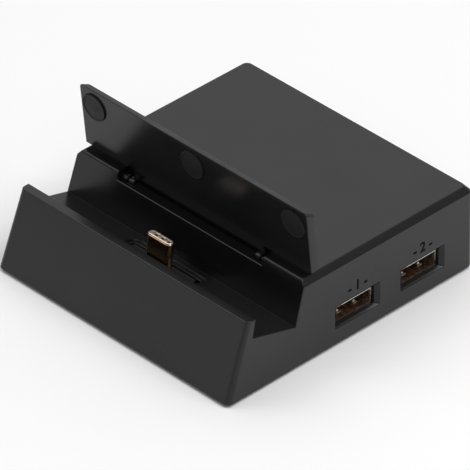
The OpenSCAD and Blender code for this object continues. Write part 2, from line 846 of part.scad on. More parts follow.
module power_shell() {
    color("#b8b8bb") placed() difference() {
        along_y(rear_y(power_z) - power_l, power_l) translate([power_x, power_z])
            oblong(power_w, power_h);
        along_y(rear_y(power_z) - power_l + socket_wall, power_l) translate([power_x, power_z])
            oblong(power_w - 2 * socket_wall, power_h - 2 * socket_wall);
    }
}

module power_tongue() {
    plate_w = 6.6;
    plate_t = 0.7;
    plate_l = 6.2;
    root_l = 1.4;
    y = rear_y(power_z) - power_l + socket_wall + fit_gap;
    grow = -2 * socket_wall - 2 * fit_gap;
    color("#161617") placed() {
        along_y(y, root_l) translate([power_x, power_z]) oblong(power_w + grow, power_h + grow);
        translate([power_x - plate_w / 2, y, power_z - plate_t / 2]) cube([plate_w, plate_l, plate_t]);
    }
}

module main_board() {
    color("#1f4d37") placed() difference() {
        translate([board_x[0], board_y[0], board_top - board_t])
            cube([board_x[1] - board_x[0], board_y[1] - board_y[0], board_t]);
        for (x = board_screw_x, y = board_screw_y)
            translate([x, y, 0]) cylinder(r = board_screw_r + 0.15, h = body_h);
        // Round notches clear the rear screw bosses
        for (sx = [-1, 1])
            translate([sx * screw_x, screw_y[1], 0]) cylinder(r = board_notch, h = body_h);
    }
}

module board_screws() {
    color("#8a8a8c") placed() for (x = board_screw_x, y = board_screw_y)
        translate([x, y, board_top]) mirror([0, 0, 1])
            pan_screw(board_screw_r - 0.02, board_top - base_t / 2 - 0.4, board_screw_head_r,
                board_screw_head_h);
}

// Flat cable with one soft bend, from under the plug to its connector on the board
module ribbon_cable() {
    start = [pivot[0] + carrier_t / 2 + 1.6, base_t + 1.2];
    rise = [connector_y - 3.4, start[1]];
    end = [connector_y, board_top + connector_h / 2];
    up = [0, ribbon_t];
    color("#d9d5c6") placed() along_x(ribbon_w)
        polygon([start, rise, end - [1, 0], end, end + up, end + up - [1.1, 0], rise + up - [0.1, 0],
            start + up]);
}

module ribbon_connector() {
    color("#e2ddcf") placed() difference() {
        translate([-ribbon_w / 2 - 1.5, connector_y, board_top])
            cube([ribbon_w + 3, connector_d, connector_h]);
        translate([-ribbon_w / 2 - 0.3, connector_y - over, board_top + connector_h])
            rotate([-14, 0, 0]) cube([ribbon_w + 0.6, connector_d / 2, 0.6]);
    }
}

// Puts something on the board, at shares of its width and depth from its front left corner
module on_board(at, along = 0) {
    placed() translate([board_x[0] + at[0] * board_w + along, board_y[0] + at[1] * board_d, board_top])
        children();
}

// Flat square chip with legs on two sides
module chip(w, h) {
    linear_extrude(height = h) square([w, w], center = true);
    legs = floor(w / chip_pitch) - 1;
    for (side = [-1, 1], i = [0 : legs - 1])
        translate([(i - (legs - 1) / 2) * chip_pitch - chip_leg_w / 2,
            side > 0 ? w / 2 - eps : -w / 2 - chip_leg_l, 0])
            cube([chip_leg_w, chip_leg_l + eps, chip_leg_h]);
}

module video_chip() {
    color("#202022") on_board(video_chip_at) chip(video_chip_w, video_chip_h);
}

module hub_chip() {
    color("#202022") on_board(hub_chip_at) chip(hub_chip_w, hub_chip_h);
}

module crystal_can() {
    color("#b5b5b7") on_board(crystal_at) linear_extrude(height = crystal_h)
        round_rect(crystal_w, crystal_d, crystal_d / 2 - 0.1);
}

// Square ferrite rings, each with a round core that stands a little lower
module inductors() {
    color("#3a3a3c") for (i = [0, 1])
        on_board(inductor_at, i * inductor_pitch) {
            linear_extrude(height = inductor_h) difference() {
                round_rect(inductor_w, inductor_w, inductor_w / 5);
                circle(r = inductor_core_r + fit_gap);
            }
            cylinder(r = inductor_core_r, h = inductor_h - 0.4);
        }
}

module capacitors() {
    color("#8b6b4a") for (row = capacitor_rows, i = [0 : row[2] - 1])
        on_board([row[0], row[1]], i * capacitor_pitch)
            cube([capacitor_w, capacitor_d, capacitor_h]);
}

upper_housing();
base_plate();
base_screws();
rubber_feet();
support_flap();
flap_pad_left();
flap_pad_middle();
flap_pad_right();
hinge_pin();
plug_carrier();
plug_shell();
plug_core();
plug_contacts();
plug_board();
return_springs();
port_shell_front();
port_shell_rear();
port_tongue_front();
port_tongue_rear();
port_contacts_front();
port_contacts_rear();
video_shell();
video_tongue();
power_shell();
power_tongue();
main_board();
board_screws();
ribbon_cable();
ribbon_connector();
video_chip();
hub_chip();
crystal_can();
inductors();
capacitors();
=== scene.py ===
"""Docking station for a hand-held console, dressed for a studio picture.

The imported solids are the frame. This script gives each of them its finish, puts soft
mould radii on the housing, the back-rest and the plug's shell, and adds the small parts
that only a close look shows: the springs, lips and sloped borders of the side sockets,
the rolled rim of the plug, the pad rims and the port numbers.
"""

import json
import math

import bmesh
import bpy
from mathutils import Matrix, Vector


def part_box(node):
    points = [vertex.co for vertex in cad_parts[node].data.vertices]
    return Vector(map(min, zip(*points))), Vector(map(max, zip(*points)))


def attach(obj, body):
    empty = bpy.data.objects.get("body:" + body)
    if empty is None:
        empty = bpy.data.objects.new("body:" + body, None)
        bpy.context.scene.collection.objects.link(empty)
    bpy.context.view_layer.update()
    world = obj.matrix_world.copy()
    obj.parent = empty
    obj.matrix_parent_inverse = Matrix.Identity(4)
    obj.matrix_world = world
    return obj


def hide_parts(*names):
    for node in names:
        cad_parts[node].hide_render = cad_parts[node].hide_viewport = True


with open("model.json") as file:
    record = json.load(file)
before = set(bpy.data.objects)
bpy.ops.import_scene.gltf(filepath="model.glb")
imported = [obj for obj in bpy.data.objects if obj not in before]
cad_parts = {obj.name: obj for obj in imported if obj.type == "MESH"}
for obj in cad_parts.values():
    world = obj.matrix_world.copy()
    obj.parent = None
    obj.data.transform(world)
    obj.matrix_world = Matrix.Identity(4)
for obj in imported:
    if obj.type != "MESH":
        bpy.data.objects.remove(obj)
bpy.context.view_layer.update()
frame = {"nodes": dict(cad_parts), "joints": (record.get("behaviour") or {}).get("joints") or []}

MM = 0.001

# Camera, solved from the straight edges of the housing in the picture
CAMERA_AZIMUTH = 43.8
CAMERA_ELEVATION = 35.06
CAMERA_ROLL = 1.65
CAMERA_DISTANCE = 1556 * MM
CAMERA_TARGET = Vector((5.08, -6.19, 15.8)) * MM
FOCAL_PIXELS = 6137
FRAME_PIXELS = 470
SENSOR_WIDTH = 36.0

# Shape values shared with the solids
FOOT_HEIGHT = 0.8 * MM
WALL_DRAFT = math.radians(2.3)
FLAP_LEAN = math.radians(7.8)
PLUG_LEAN = math.radians(-5)
PLUG_TIP = 13 * MM
PAD_HEIGHT = 0.5 * MM
PANEL_CORNER = 1 * MM

# Cleaning of a solid's mesh: points this close are one point, and faces this flat are one face
MERGE_GAP = 0.02 * MM
FLAT_ANGLE = math.radians(0.6)

# Mould radii: a fold's share of the outer radius, and the angle from which an edge has one
HOUSING_RADIUS = 0.25 * MM
FLAP_RADIUS = 0.3 * MM
SLEEVE_RADIUS = 0.1 * MM
CREASE_SHARE = 0.15
MOULD_ANGLE = 24
SLEEVE_ANGLE = 40

# Back-rest: where its upper part is cut off to be redrawn, and the height its end lies above
PANEL_CUT = 15 * MM
PANEL_TOP_Z = 38 * MM

# Rubber pads, as shares of their radius and height: a crowned disc inside a raised rim
PAD_PROFILE = (
    (0.0, 0.82), (0.6, 0.8), (0.84, 0.74), (0.885, 0.76), (0.91, 0.96), (0.955, 1.0),
    (0.99, 0.8), (1.0, 0.45), (1.0, 0.0),
)
PAD_STEPS = 72

# Number over each side port: height of its middle, its letter height, and how thick it is drawn
NUMBER_Z = 15.3 * MM
NUMBER_HEIGHT = 2.9 * MM
NUMBER_DEPTH = 0.05 * MM
NUMBER_WEIGHT = 0.09 * MM
CAP_SHARE = 0.7

# Side sockets: bowed springs
FINGER_LENGTH = 3.6 * MM
FINGER_WIDTH = 1.6 * MM
FINGER_THICKNESS = 0.22 * MM
FINGER_OFFSET = 3.0 * MM
FINGER_DEPTH = 3.9 * MM
FINGER_SINK = 0.35 * MM
FINGER_BOW = 0.5 * MM
FINGER_BOW_SHARE = 0.42

# Side sockets: spring beads, flared upper lip, and the sloped border of the opening.
# Each row of the border is its width, height, corner radius and level in mm.
BEAD_OFFSET = 3.05 * MM
BEAD_RADIUS = 0.55 * MM
BEAD_FLATNESS = 0.7
BEAD_DEPTH = 2.8 * MM
BEAD_DROP = 5.2 * MM
LIP_LENGTH = 1.1 * MM
LIP_INSET = 1.2 * MM
LIP_THICKNESS = 0.3 * MM
LIP_OVERLAP = 0.15 * MM
LIP_DROP = 0.15 * MM
LIP_ROUNDING = 0.09 * MM
BEZEL_ROWS = (
    (15.96, 6.66, 0.4, -0.03), (13.8, 6.0, 0.5, -0.9), (13.7, 5.95, 0.5, -1.0),
    (13.7, 5.95, 0.5, -1.75),
)

# Plug mouth: rows of its rim, as above, and the contact noses that nearly close its slit.
# The noses stand in three groups, so three dark gaps stay open between them.
RIM_ROWS = (
    (7.98, 2.2, 1.1, 12.9), (7.9, 2.12, 1.06, 13.0), (7.7, 1.92, 0.96, 13.08),
    (7.3, 1.52, 0.76, 13.1), (6.9, 1.12, 0.56, 13.05), (6.7, 0.9, 0.42, 12.9),
    (6.66, 0.86, 0.4, 12.62),
)
SLIT_WIDTH = 0.86 * MM
NOSE_WIDTH = 0.38 * MM
NOSE_REACH = 0.42 * MM
NOSE_DROP = 0.08 * MM
NOSE_PLACES = (-2.9, -2.5, -2.1, -0.6, -0.2, 0.2, 1.6, 2.0, 2.4)
CORNER_STEPS = 24

# Light: a soft glow from high behind on the left, and two soft boxes: place, size and power
GLOW_FROM = Vector((-0.5, 0.5, 0.7))
GLOW_GAIN = 0.7
SKY_LOW = 0.22
SKY_RISE = 0.35
GLOW_TIGHTNESS = 6.0
OVERHEAD = ((0.58, 0.18, 1.1), 0.8, 7.7)
FRONT_LEFT = ((-0.71, -0.51, 0.93), 0.6, 1.9)


def srgb(text):
    """A hex colour as written for the screen, as the linear numbers that a shader takes."""
    values = [int(text[i:i + 2], 16) / 255 for i in (1, 3, 5)]
    linear = [v / 12.92 if v <= 0.04045 else ((v + 0.055) / 1.055) ** 2.4 for v in values]
    return (*linear, 1.0)


def add_node(tree, kind, settings=None, inputs=None, links=None):
    """Adds one node, sets its options and sockets, and links other nodes' outputs to it."""
    node = tree.nodes.new(kind)
    for name, value in (settings or {}).items():
        setattr(node, name, value)
    for name, value in (inputs or {}).items():
        node.inputs[name].default_value = value
    for name, output in (links or {}).items():
        tree.links.new(output, node.inputs[name])
    return node


def new_material(name, colour, roughness, **sockets):
    """A material with one Principled shader. Returns it with its tree and shader."""
    material = bpy.data.materials.new(name)
    material.use_nodes = True
    material.diffuse_color = srgb(colour)
    tree = material.node_tree
    shader = tree.nodes["Principled BSDF"]
    shader.inputs["Base Color"].default_value = srgb(colour)
    shader.inputs["Roughness"].default_value = roughness
    for socket, value in sockets.items():
        shader.inputs[socket.replace("_", " ")].default_value = value
    return material, tree, shader


def fine_grain(tree, shader, grain_mm, depth_mm, strength):
    """Bump of a moulded, drawn or sanded skin.

    The real grain is under 0.1 mm in all of these finishes, finer than a pixel, so it is
    drawn at 0.2 to 0.5 mm, as coarse as it needs to be to show.
    """
    place = add_node(tree, "ShaderNodeTexCoord")
    noise = add_node(tree, "ShaderNodeTexNoise", {"noise_dimensions": "3D"},
                     {"Scale": 1 / (grain_mm * MM), "Detail": 3.0, "Roughness": 0.6},
                     {"Vector": place.outputs["Object"]})
    bump = add_node(tree, "ShaderNodeBump", None,
                    {"Strength": strength, "Distance": depth_mm * MM},
                    {"Height": noise.outputs["Fac"]})
    tree.links.new(bump.outputs["Normal"], shader.inputs["Normal"])
    return place


def uneven(tree, shader, place, socket, low, high, size_mm):
    """Slow drift of one value over the surface, as handling and moulding leave it."""
    noise = add_node(tree, "ShaderNodeTexNoise", {"noise_dimensions": "3D"},
                     {"Scale": 1 / (size_mm * MM), "Detail": 4.0, "Roughness": 0.55},
                     {"Vector": place.outputs["Object"]})
    spread = add_node(tree, "ShaderNodeMapRange", None,
                      {"From Min": 0.3, "From Max": 0.7, "To Min": low, "To Max": high},
                      {"Value": noise.outputs["Fac"]})
    tree.links.new(spread.outputs["Result"], shader.inputs[socket])


def drifting_colour(tree, shader, place, dark, light, size_mm):
    """Slow drift between two close colours."""
    noise = add_node(tree, "ShaderNodeTexNoise", {"noise_dimensions": "3D"},
                     {"Scale": 1 / (size_mm * MM), "Detail": 3.0, "Roughness": 0.5},
                     {"Vector": place.outputs["Object"]})
    mix = add_node(tree, "ShaderNodeMix", {"data_type": "RGBA"})
    mix.inputs["A"].default_value = srgb(dark)
    mix.inputs["B"].default_value = srgb(light)
    tree.links.new(noise.outputs["Fac"], mix.inputs["Factor"])
    colour = [o for o in mix.outputs if o.type == "RGBA"][0]
    tree.links.new(colour, shader.inputs["Base Color"])


def moulded_abs():
    """Black ABS from a spark-eroded mould: a satin skin whose fine grain spreads the lamps."""
    material, tree, shader = new_material("moulded_abs", "#131314", 0.24, IOR=1.43)
    place = fine_grain(tree, shader, 0.3, 0.004, 0.4)
    uneven(tree, shader, place, "Roughness", 0.21, 0.28, 18)
    drifting_colour(tree, shader, place, "#111112", "#151516", 25)
    return material


def smooth_abs():
    """Black ABS from a finer mould: the panel mirrors the table softly."""
    material, tree, shader = new_material("smooth_abs", "#171718", 0.25, IOR=1.37)
    place = fine_grain(tree, shader, 0.3, 0.002, 0.3)
    uneven(tree, shader, place, "Roughness", 0.19, 0.25, 15)
    return material


def inner_abs():
    """Black ABS of the hidden mouldings, duller than the skin outside."""
    material, tree, shader = new_material("inner_abs", "#161617", 0.55, IOR=1.53)
    place = fine_grain(tree, shader, 0.4, 0.01, 0.4)
    uneven(tree, shader, place, "Roughness", 0.5, 0.62, 12)
    return material


def pad_rubber():
    """Black silicone rubber: soft sheen, no clear reflection."""
    material, tree, shader = new_material("pad_rubber", "#181818", 0.5, IOR=1.3)
    place = fine_grain(tree, shader, 0.35, 0.02, 0.5)
    uneven(tree, shader, place, "Roughness", 0.46, 0.58, 3)
    return material


def matt_ink():
    """Dull black of the port numbers, flatter than the wall round them."""
    material, tree, shader = new_material("matt_ink", "#040404", 0.75, IOR=1.2)
    place = fine_grain(tree, shader, 0.25, 0.01, 0.4)
    uneven(tree, shader, place, "Roughness", 0.7, 0.82, 1)
    return material


def gold_plate():
    """Thin pale gold over a drawn steel shell: bright, a little pink, faintly brushed."""
    material, tree, shader = new_material("gold_plate", "#d6b18c", 0.2, Metallic=1.0)
    place = fine_grain(tree, shader, 0.25, 0.004, 0.3)
    uneven(tree, shader, place, "Roughness", 0.15, 0.25, 1.5)
    return material


def rim_gold_painted_highlight():
    """The same plate where the rim is rolled over: rubbed by use, so it spreads the light. Its
    near-white colour, far paler than the plate's gold, is a painted highlight that keeps the rim
    bright.
    """
    # Painted highlight: this colour is far paler than the gold plate's, so the rolled rim reads
    # bright
    material, tree, shader = new_material("rim_gold_painted_highlight", "#fff4e4", 0.38, Metallic=1.0)
    place = fine_grain(tree, shader, 0.25, 0.01, 0.5)
    uneven(tree, shader, place, "Roughness", 0.32, 0.46, 0.8)
    return material


def contact_gold():
    """Hard gold on the contact strips."""
    material, tree, shader = new_material("contact_gold", "#e0b45c", 0.25, Metallic=1.0)
    place = fine_grain(tree, shader, 0.2, 0.003, 0.3)
    uneven(tree, shader, place, "Roughness", 0.2, 0.32, 1)
    return material


def nickel_plate():
    """Bright nickel over stamped sheet: a slightly warm, soft mirror."""
    material, tree, shader = new_material("nickel_plate", "#cfcac2", 0.24, Metallic=1.0)
    place = fine_grain(tree, shader, 0.3, 0.004, 0.3)
    uneven(tree, shader, place, "Roughness", 0.2, 0.32, 2)
    return material


def zinc_steel():
    """Zinc-plated steel of screws, pin and springs: grey, softly bright."""
    material, tree, shader = new_material("zinc_steel", "#a9a9a9", 0.32, Metallic=1.0)
    place = fine_grain(tree, shader, 0.25, 0.006, 0.4)
    uneven(tree, shader, place, "Roughness", 0.26, 0.42, 1.5)
    return material


def brown_nylon():
    """Brown glass-filled nylon of the socket tongues: dull, with pale fibre specks."""
    material, tree, shader = new_material("brown_nylon", "#9a6846", 0.45, IOR=1.55)
    place = fine_grain(tree, shader, 0.3, 0.01, 0.4)
    drifting_colour(tree, shader, place, "#8c5c3c", "#a87350", 0.8)
    return material


def black_polymer():
    """Black liquid-crystal polymer of the small insulators: dense and slightly glossy."""
    material, tree, shader = new_material("black_polymer", "#131314", 0.35, IOR=1.6)
    place = fine_grain(tree, shader, 0.25, 0.006, 0.3)
    uneven(tree, shader, place, "Roughness", 0.3, 0.42, 2)
    return material


def solder_mask():
    """Green solder mask over copper: glossy, with the tracks just showing."""
    material, tree, shader = new_material("solder_mask", "#14532f", 0.3, IOR=1.5)
    place = fine_grain(tree, shader, 0.5, 0.006, 0.3)
    drifting_colour(tree, shader, place, "#0f4527", "#1b6239", 2.5)
    return material


def chip_epoxy():
    """Black filled epoxy of the chip bodies: flat and slightly grey."""
    material, tree, shader = new_material("chip_epoxy", "#202022", 0.6, IOR=1.5)
    fine_grain(tree, shader, 0.2, 0.006, 0.4)
    return material


def pale_film():
    """Pale polyester film and nylon of the flat cable and its connector."""
    material, tree, shader = new_material("pale_film", "#d8d2bf", 0.4, IOR=1.5)
    fine_grain(tree, shader, 0.4, 0.004, 0.3)
    return material


def ceramic_tan():
    """Tan fired ceramic of the small capacitors."""
    material, tree, shader = new_material("ceramic_tan", "#8b6b4a", 0.5, IOR=1.6)
    fine_grain(tree, shader, 0.2, 0.006, 0.3)
    return material


def give(piece, material):
    """Makes this the piece's only material."""
    piece.data.materials.clear()
    piece.data.materials.append(material)


def new_piece(name, mesh, body, material):
    """Links a finished mesh as a piece that rides on a body."""
    piece = bpy.data.objects.new(name, mesh)
    bpy.context.scene.collection.objects.link(piece)
    give(piece, material)
    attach(piece, body)
    return piece


def smoothed(mesh, angle=35):
    """Smooth faces that break at edges sharper than the angle."""
    mesh.shade_smooth()
    mesh.set_sharp_from_angle(angle=math.radians(angle))


def mesh_from(bm, name, smooth_angle=35):
    """Turns a bmesh into a mesh with smooth faces that break at sharp edges."""
    bmesh.ops.recalc_face_normals(bm, faces=bm.faces)
    mesh = bpy.data.meshes.new(name)
    bm.to_mesh(mesh)
    bm.free()
    smoothed(mesh, smooth_angle)
    return mesh


def clean_copy(node):
    """A merged copy of a solid's mesh, its flat faces joined again."""
    bm = bmesh.new()
    bm.from_mesh(frame["nodes"][node].data)
    bmesh.ops.remove_doubles(bm, verts=bm.verts, dist=MERGE_GAP)
    bmesh.ops.dissolve_limit(bm, angle_limit=FLAT_ANGLE, verts=bm.verts, edges=bm.edges,
                             use_dissolve_boundaries=False)
    return bm


def back_rest_place():
    """Turns the panel's own frame (width, back, up) to its place on the hinge."""
    hinge = next(j for j in frame["joints"] if j["name"] == "backrest_fold")
    return Matrix.Translation(Vector(hinge["pos_m"])) @ Matrix.Rotation(FLAP_LEAN, 4, "X")


def plain_top(bm):
    """Draws the panel's upper part anew, so its round corners hold no slivers."""
    place = back_rest_place()
    back = place.inverted()
    near = 0.1 * MM
    spots = [back @ vert.co for vert in bm.verts]
    rear = max(spot.y for spot in spots)
    front_top = max(spot.z for spot in spots)
    rear_top = max(spot.z for spot in spots if spot.y > rear - near)
    up = place.to_3x3() @ Vector((0, 0, 1))
    cut = bmesh.ops.bisect_plane(bm, geom=bm.verts[:] + bm.edges[:] + bm.faces[:],
                                 plane_co=place @ Vector((0, 0, PANEL_CUT)), plane_no=up,
                                 clear_outer=True)
    rim = [part for part in cut["geom_cut"] if isinstance(part, bmesh.types.BMEdge)]
    grown = bmesh.ops.extrude_edge_only(bm, edges=rim)["geom"]
    for vert in [part for part in grown if isinstance(part, bmesh.types.BMVert)]:
        spot = back @ vert.co
        spot.z = rear_top if spot.y > rear / 2 else front_top
        vert.co = place @ spot
    ends = [part for part in grown if isinstance(part, bmesh.types.BMEdge) and part.is_boundary]
    bmesh.ops.edgeloop_fill(bm, edges=ends)
    corners = [edge for edge in ends if abs(edge.verts[0].co.x - edge.verts[1].co.x) < near]
    bmesh.ops.bevel(bm, geom=corners, offset=PANEL_CORNER, offset_type="OFFSET", segments=5,
                    profile=0.5, affect="EDGES", material=-1)
    bmesh.ops.recalc_face_normals(bm, faces=bm.faces[:])


def softened(node, name, body, material, radius, angle=MOULD_ANGLE, redraw=None):
    """Stands for a solid with a mould radius on every edge sharper than the angle."""
    bm = clean_copy(node)
    if redraw:
        redraw(bm)
    weight = bm.edges.layers.float.new("bevel_weight_edge")
    for edge in bm.edges:
        turn = edge.calc_face_angle_signed(0.0)
        if abs(turn) > math.radians(angle):
            edge[weight] = 1.0 if turn > 0 else CREASE_SHARE
    mesh = bpy.data.meshes.new(name)
    bm.to_mesh(mesh)
    bm.free()
    mesh.shade_smooth()
    piece = new_piece(name, mesh, body, material)
    bevel = piece.modifiers.new("mould radius", "BEVEL")
    bevel.width = radius
    bevel.segments = 3
    bevel.limit_method = "WEIGHT"
    bevel.use_clamp_overlap = False
    # Large flat faces keep their own shading beside the narrow rounded ones
    weigh = piece.modifiers.new("flat shading", "WEIGHTED_NORMAL")
    weigh.mode = "FACE_AREA"
    weigh.weight = 100
    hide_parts(node)
    return piece


def dull_end(piece, material):
    """Gives the panel's top end its own, duller finish."""
    piece.data.materials.append(material)
    up = back_rest_place().to_3x3() @ Vector((0, 0, 1))
    for face in piece.data.polygons:
        if face.normal.dot(up) > 0.5 and face.center.z > PANEL_TOP_Z:
            face.material_index = 1


def round_pad(side, material):
    """One rubber pad: a shallow crowned disc inside a thin raised rim."""
    node = f"flap_pad_{side}"
    low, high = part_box(node)
    centre = (low + high) / 2
    place = back_rest_place()
    local = place.inverted() @ centre
    radius = (high.x - low.x) / 2
    bm = bmesh.new()
    verts = [bm.verts.new((radius * out, 0, PAD_HEIGHT * high)) for out, high in PAD_PROFILE]
    for a, b in zip(verts, verts[1:]):
        bm.edges.new((a, b))
    bmesh.ops.spin(bm, geom=bm.verts[:] + bm.edges[:], cent=(0, 0, 0), axis=(0, 0, 1),
                   angle=math.tau, steps=PAD_STEPS, use_merge=True)
    bmesh.ops.remove_doubles(bm, verts=bm.verts, dist=0.001 * MM)
    rim = [e for e in bm.edges if e.is_boundary]
    bmesh.ops.holes_fill(bm, edges=rim, sides=0)
    face_y = local.y + PAD_HEIGHT / 2
    turn = Matrix.Rotation(math.radians(90), 4, "X")
    bmesh.ops.transform(bm, verts=bm.verts,
                        matrix=place @ Matrix.Translation((local.x, face_y, local.z)) @ turn)
    piece = new_piece(f"round_pad_{side}", mesh_from(bm, node), "backrest", material)
    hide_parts(node)
    return piece


def port_number(number, centre_y, material):
    """A small number between two dashes over a side port, on the drafted wall."""
    wall_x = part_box("upper_housing")[1].x
    curve = bpy.data.curves.new("number", "FONT")
    curve.body = f"- {number} -"
    curve.size = NUMBER_HEIGHT / CAP_SHARE
    curve.extrude = NUMBER_DEPTH
    curve.offset = NUMBER_WEIGHT
    curve.resolution_u = 6
    carrier = bpy.data.objects.new("number", curve)
    bpy.context.scene.collection.objects.link(carrier)
    bpy.context.view_layer.update()
    solved = carrier.evaluated_get(bpy.context.evaluated_depsgraph_get())
    mesh = bpy.data.meshes.new_from_object(solved)
    bpy.data.objects.remove(carrier)
    spread = [[v.co[axis] for v in mesh.vertices] for axis in (0, 1)]
    middle = [-(min(values) + max(values)) / 2 for values in spread]
    mesh.transform(Matrix.Translation((*middle, 0)))
    x = wall_x - (NUMBER_Z - FOOT_HEIGHT) * math.tan(WALL_DRAFT)
    stand = Matrix(((0, 0, 1, x), (1, 0, 0, centre_y), (0, 1, 0, NUMBER_Z), (0, 0, 0, 1)))
    mesh.transform(stand @ Matrix.Rotation(-WALL_DRAFT, 4, "X"))
    smoothed(mesh)
    return new_piece(f"port_number_{number}", mesh, "dock", material)


def socket_fingers(name, shell_node, material):
    """Four sprung fingers pressed from a socket shell: two from above and two from below."""
    low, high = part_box(shell_node)
    middle = (low.y + high.y) / 2
    finger_x = high.x - FINGER_DEPTH
    bm = bmesh.new()
    for side in (-1, 1):
        wall_z = (high.z if side > 0 else low.z) - side * FINGER_SINK
        for offset in (-FINGER_OFFSET, FINGER_OFFSET):
            made = bmesh.ops.create_cube(bm, size=1.0)["verts"]
            bmesh.ops.scale(bm, verts=made, vec=(FINGER_LENGTH, FINGER_WIDTH, FINGER_THICKNESS))
            bmesh.ops.translate(bm, verts=made, vec=(finger_x, middle + offset, wall_z))
            edges = list({e for v in made for e in v.link_edges if abs(
                (e.verts[0].co - e.verts[1].co).x) > FINGER_LENGTH / 2})
            cut = bmesh.ops.subdivide_edges(bm, edges=edges, cuts=6)
            moved = {v for v in cut["geom_inner"] if isinstance(v, bmesh.types.BMVert)}
            for vert in moved:
                along = (vert.co.x - finger_x) / FINGER_LENGTH
                bow = max(0.0, 1 - (along / FINGER_BOW_SHARE) ** 2)
                vert.co.z -= side * FINGER_BOW * bow
    return new_piece(name, mesh_from(bm, name), "dock", material)


def socket_beads(name, shell_node, material):
    """Round noses of the two lower springs, seen through the mouth."""
    low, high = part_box(shell_node)
    middle = (low.y + high.y) / 2
    bm = bmesh.new()
    for offset in (-BEAD_OFFSET, BEAD_OFFSET):
        ball = bmesh.ops.create_uvsphere(bm, u_segments=20, v_segments=12, radius=BEAD_RADIUS)
        made = ball["verts"]
        bmesh.ops.scale(bm, verts=made, vec=(BEAD_FLATNESS, 1, 1))
        bmesh.ops.translate(bm, verts=made,
                            vec=(high.x - BEAD_DEPTH, middle + offset, high.z - BEAD_DROP))
    return new_piece(name, mesh_from(bm, name), "dock", material)


def socket_lip(name, shell_node, material):
    """The flared upper edge of the socket shell, close under the edge of the wall."""
    low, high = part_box(shell_node)
    bm = bmesh.new()
    made = bmesh.ops.create_cube(bm, size=1.0)["verts"]
    wide = high.y - low.y - 2 * LIP_INSET
    bmesh.ops.scale(bm, verts=made, vec=(LIP_LENGTH, wide, LIP_THICKNESS))
    bmesh.ops.bevel(bm, geom=bm.edges[:], offset=LIP_ROUNDING, offset_type="OFFSET", segments=3,
                    profile=0.5, affect="EDGES", material=-1, clamp_overlap=True)
    bmesh.ops.translate(bm, verts=bm.verts, vec=(
        high.x + LIP_LENGTH / 2 - LIP_OVERLAP, (low.y + high.y) / 2,
        high.z - LIP_DROP - LIP_THICKNESS / 2))
    return new_piece(name, mesh_from(bm, name), "dock", material)


def lofted(rows, place):
    """A sheet through rounded rectangles: width, height, corner radius and level of each, in mm."""
    bm = bmesh.new()
    loops = []
    for wide, tall, radius, level in rows:
        circle = bmesh.ops.create_circle(bm, cap_ends=False, radius=radius * MM,
                                         segments=CORNER_STEPS)
        made = circle["verts"]
        bmesh.ops.rotate(bm, verts=made, cent=(0, 0, 0),
                         matrix=Matrix.Rotation(math.pi / CORNER_STEPS, 3, "Z"))
        for vert in made:
            vert.co.x += math.copysign((wide / 2 - radius) * MM, vert.co.x)
            vert.co.y += math.copysign((tall / 2 - radius) * MM, vert.co.y)
            vert.co.z = level * MM
        loops.append(list({edge for vert in made for edge in vert.link_edges}))
    for first, second in zip(loops, loops[1:]):
        bmesh.ops.bridge_loops(bm, edges=first + second)
    bmesh.ops.transform(bm, verts=bm.verts, matrix=place)
    return bm


def port_bezel(name, shell_node, material):
    """Sloped border of a side opening, from the wall's face down to the socket."""
    low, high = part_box(shell_node)
    middle = (low + high) / 2
    wall_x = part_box("upper_housing")[1].x - (middle.z - FOOT_HEIGHT) * math.tan(WALL_DRAFT)
    stand = Matrix(((0, 0, 1, wall_x), (1, 0, 0, middle.y), (0, 1, 0, middle.z), (0, 0, 0, 1)))
    bm = lofted(BEZEL_ROWS, stand @ Matrix.Rotation(-WALL_DRAFT, 4, "X"))
    return new_piece(name, mesh_from(bm, name, 60), "dock", material)


def plug_place():
    """Turns the plug's own frame (width, thickness, reach upward) to its place on the pivot."""
    pivot = next(j for j in frame["joints"] if j["name"] == "plug_tilt")
    return Matrix.Translation(Vector(pivot["pos_m"])) @ Matrix.Rotation(PLUG_LEAN, 4, "X")


def plug_mouth(material):
    """Rounded rim of the plug with its narrow slit, and the contact noses inside it."""
    bm = lofted(RIM_ROWS, Matrix.Identity(4))
    for row in (-1, 1):
        for place in NOSE_PLACES:
            made = bmesh.ops.create_cube(bm, size=1.0)["verts"]
            bmesh.ops.scale(bm, verts=made, vec=(NOSE_WIDTH, NOSE_REACH, NOSE_WIDTH))
            bmesh.ops.translate(bm, verts=made, vec=(
                place * MM, row * (SLIT_WIDTH - NOSE_REACH) / 2, PLUG_TIP - NOSE_DROP))
    bmesh.ops.transform(bm, verts=bm.verts, matrix=plug_place())
    return new_piece("plug_mouth", mesh_from(bm, "plug_mouth"), "plug", material)


def studio_floor():
    """Large pale floor that carries the part's soft shadow."""
    bm = bmesh.new()
    bmesh.ops.create_grid(bm, x_segments=1, y_segments=1, size=6.0)
    mesh = bpy.data.meshes.new("floor")
    bm.to_mesh(mesh)
    bm.free()
    floor = bpy.data.objects.new("floor", mesh)
    bpy.context.scene.collection.objects.link(floor)
    give(floor, new_material("matt_floor", "#fafafa", 0.9)[0])


def lamp(name, place, size, power):
    """A square soft box that looks at the part."""
    data = bpy.data.lights.new(name, "AREA")
    data.shape = "SQUARE"
    data.size = size
    data.energy = power
    light = bpy.data.objects.new(name, data)
    light.location = place
    light.rotation_euler = (CAMERA_TARGET - Vector(place)).to_track_quat("-Z", "Y").to_euler()
    bpy.context.scene.collection.objects.link(light)


